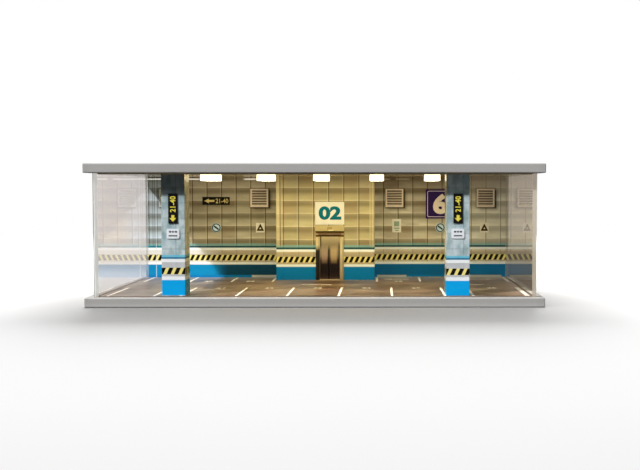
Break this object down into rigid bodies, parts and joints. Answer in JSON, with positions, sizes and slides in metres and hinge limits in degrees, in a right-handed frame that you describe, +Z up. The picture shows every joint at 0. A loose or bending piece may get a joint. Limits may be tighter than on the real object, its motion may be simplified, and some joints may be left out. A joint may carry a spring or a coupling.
{
  "type": "model parking garage display case",
  "caption": "Scale underground car park in a lit display case: grey base and roof boards, clear sides, sliding clear front, printed walls with a lift core, pillars, signs and ceiling lamps.",
  "frame": {"origin": "centre of the base board's underside", "axes": "+X to the right along the length, front faces -Y, +Z up"},
  "size_m": [0.36, 0.188, 0.1125],
  "materials": {
    "board_grey": "satin grey painted board",
    "clear_acrylic": "polished clear acrylic",
    "floor_print": "printed asphalt, satin film",
    "ceiling_white": "matt white sheet",
    "wall_print": "printed concrete blocks, satin film",
    "core_print": "printed concrete blocks, satin film",
    "trim_print": "pale printed strip",
    "back_grey": "plain grey board",
    "pillar_print": "printed pillar wrap, satin film",
    "lift_steel": "brushed",
    "lift_frame_steel": "brushed, darker",
    "indicator_black": "printed strip",
    "level_sign_face": "cream plate with a teal number",
    "zone_sign_face": "violet plate with a cream number",
    "direction_sign_face": "black plate with a yellow arrow",
    "round_sign_face": "white disc with a teal ring",
    "triangle_sign_face": "cream plate with a triangle",
    "notice_face": "cream plate with bars",
    "pillar_sign_face": "black plate with a yellow arrow",
    "pillar_plate_face": "white plate with bars",
    "vent_plastic": "moulded",
    "lamp_opal": "opal, glowing",
    "circuit_green": "circuit board",
    "wire_red": "wire insulation",
    "black_plastic": "moulded black",
    "post_plastic": "moulded post",
    "plated_steel": "zinc plated"
  },
  "bodies": {
    "case": {"base_board": "board_grey", "floor_sheet": "floor_print", "roof_board": "board_grey", "ceiling_panel": "ceiling_white", "back_board": "back_grey", "side_panel_left": "clear_acrylic", "side_panel_right": "clear_acrylic", "wall_panel_left": "wall_print", "wall_panel_right": "wall_print", "core_front": "core_print", "core_side_left": "core_print", "core_side_right": "core_print", "core_trim_left": "trim_print", "core_trim_right": "trim_print", "lift_frame": "lift_frame_steel", "lift_door_left": "lift_steel", "lift_door_right": "lift_steel", "lift_sill": "lift_steel", "lift_indicator": "indicator_black", "level_sign": "level_sign_face", "zone_sign": "zone_sign_face", "direction_sign": "direction_sign_face", "round_sign_left": "round_sign_face", "round_sign_right": "round_sign_face", "triangle_sign_left": "triangle_sign_face", "triangle_sign_right": "triangle_sign_face", "notice_plate": "notice_face", "pillar_left": "pillar_print", "pillar_right": "pillar_print", "pillar_sign_left": "pillar_sign_face", "pillar_sign_right": "pillar_sign_face", "pillar_plate_left": "pillar_plate_face", "pillar_plate_right": "pillar_plate_face", "driver_board": "circuit_green", "board_posts": "post_plastic", "power_socket": "black_plastic", "socket_nut": "plated_steel", "switch_body": "black_plastic", "lamp_wiring": "wire_red", "supply_wiring": "wire_red", "base_screws": "plated_steel", "roof_screws": "plated_steel", "vent_1": "vent_plastic", "vent_2": "vent_plastic", "vent_3": "vent_plastic", "vent_4": "vent_plastic", "lamp_cover_1": "lamp_opal", "led_board_1": "circuit_green", "lamp_cover_2": "lamp_opal", "led_board_2": "circuit_green", "lamp_cover_3": "lamp_opal", "led_board_3": "circuit_green", "lamp_cover_4": "lamp_opal", "led_board_4": "circuit_green", "lamp_cover_5": "lamp_opal", "led_board_5": "circuit_green"},
    "sliding_panel": {"front_panel": "clear_acrylic"},
    "rocker": {"switch_rocker": "black_plastic"}
  },
  "joints": [
    {"name": "panel_slide", "type": "slide", "parent": "case", "child": "sliding_panel", "axis": [1, 0, 0], "range_m": [0, 0.34]},
    {"name": "switch_rock", "type": "hinge", "parent": "case", "child": "rocker", "pos_m": [0.02, 0.086, 0.025], "axis": [1, 0, 0], "range_deg": [0, 20]}
  ]
}
